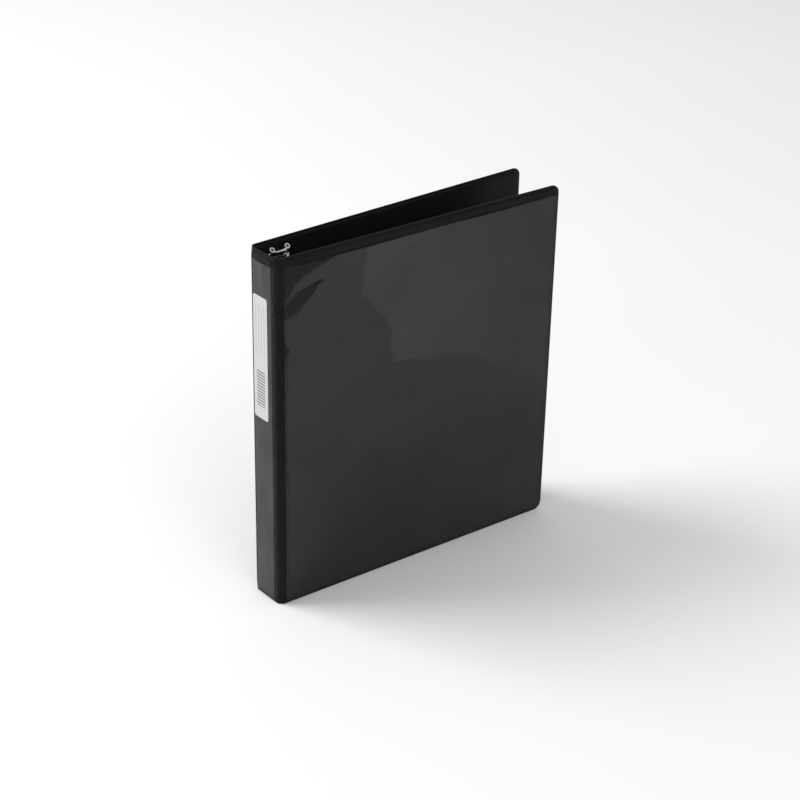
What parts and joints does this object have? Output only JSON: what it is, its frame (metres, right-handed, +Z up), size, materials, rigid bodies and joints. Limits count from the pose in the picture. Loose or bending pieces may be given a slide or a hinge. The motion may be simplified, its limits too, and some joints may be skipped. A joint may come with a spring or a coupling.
{
  "type": "ring binder",
  "caption": "Slim three-ring view binder for letter paper: black vinyl case with clear overlays, inner pockets, and D-rings on a lever-opened mechanism on the back cover.",
  "frame": {"origin": "under the middle of the standing binder, on the surface it stands on", "axes": "+Z up, +X from the spine to the fore edge, -Y out of the front cover"},
  "size_m": [0.2634, 0.05, 0.292],
  "materials": {
    "vinyl": "satin black PVC with a fine grain",
    "chipboard": "grey chipboard",
    "clear_film": "clear glossy polypropylene film",
    "pocket_vinyl": "matt black PVC",
    "label_paper": "coated white sticker",
    "nickel": "bright nickel plate on steel",
    "plate_steel": "plated spring steel",
    "zinc_steel": "zinc plated steel"
  },
  "bodies": {
    "back_cover": {"back_outer_vinyl": "vinyl", "back_inner_vinyl": "vinyl", "back_board": "chipboard", "back_clear_overlay": "clear_film", "back_inner_pocket": "pocket_vinyl", "ring_housing": "nickel", "mounting_rivets": "nickel", "rivet_spacers": "zinc_steel", "rivet_caps": "nickel", "lever_pins": "zinc_steel"},
    "spine": {"spine_outer_vinyl": "vinyl", "spine_inner_vinyl": "vinyl", "spine_board": "chipboard", "spine_clear_overlay": "clear_film", "spine_label": "label_paper", "front_vinyl_hinge": "vinyl", "back_vinyl_hinge": "vinyl"},
    "front_cover": {"front_outer_vinyl": "vinyl", "front_inner_vinyl": "vinyl", "front_board": "chipboard", "front_clear_overlay": "clear_film", "front_inner_pocket": "pocket_vinyl"},
    "spine_side_rings": {"spine_side_plate": "plate_steel", "spine_side_bottom_half_ring": "nickel", "spine_side_middle_half_ring": "nickel", "spine_side_top_half_ring": "nickel"},
    "paper_side_rings": {"paper_side_plate": "plate_steel", "paper_side_bottom_half_ring": "nickel", "paper_side_middle_half_ring": "nickel", "paper_side_top_half_ring": "nickel"},
    "top_lever": {"top_lever": "nickel"},
    "bottom_lever": {"bottom_lever": "nickel"}
  },
  "joints": [
    {"name": "back_cover_hinge", "type": "hinge", "parent": "back_cover", "child": "spine", "pos_m": [-0.13044, 0.02241, 0], "axis": [0, 0, -1], "range_deg": [0, 90]},
    {"name": "front_cover_hinge", "type": "hinge", "parent": "spine", "child": "front_cover", "pos_m": [-0.13044, -0.01079, 0], "axis": [0, 0, -1], "range_deg": [-3, 177]},
    {"name": "paper_side_ring_opening", "type": "hinge", "parent": "back_cover", "child": "paper_side_rings", "pos_m": [-0.10034, 0.01701, 0.146], "axis": [0, 0, 1], "range_deg": [0, 16]},
    {"name": "spine_side_ring_opening", "type": "hinge", "parent": "back_cover", "child": "spine_side_rings", "pos_m": [-0.12034, 0.01701, 0.146], "axis": [0, 0, -1], "range_deg": [0, 16]},
    {"name": "top_lever_press", "type": "hinge", "parent": "back_cover", "child": "top_lever", "pos_m": [-0.11034, 0.01841, 0.2789], "axis": [-1, 0, 0], "range_deg": [0, 23]},
    {"name": "bottom_lever_press", "type": "hinge", "parent": "back_cover", "child": "bottom_lever", "pos_m": [-0.11034, 0.01841, 0.0131], "axis": [1, 0, 0], "range_deg": [0, 23]}
  ],
  "couplings": [
    {"joint": "spine_side_ring_opening", "follows": "paper_side_ring_opening", "ratio": 1},
    {"joint": "top_lever_press", "follows": "paper_side_ring_opening", "ratio": 1.4375},
    {"joint": "bottom_lever_press", "follows": "paper_side_ring_opening", "ratio": 1.4375}
  ]
}
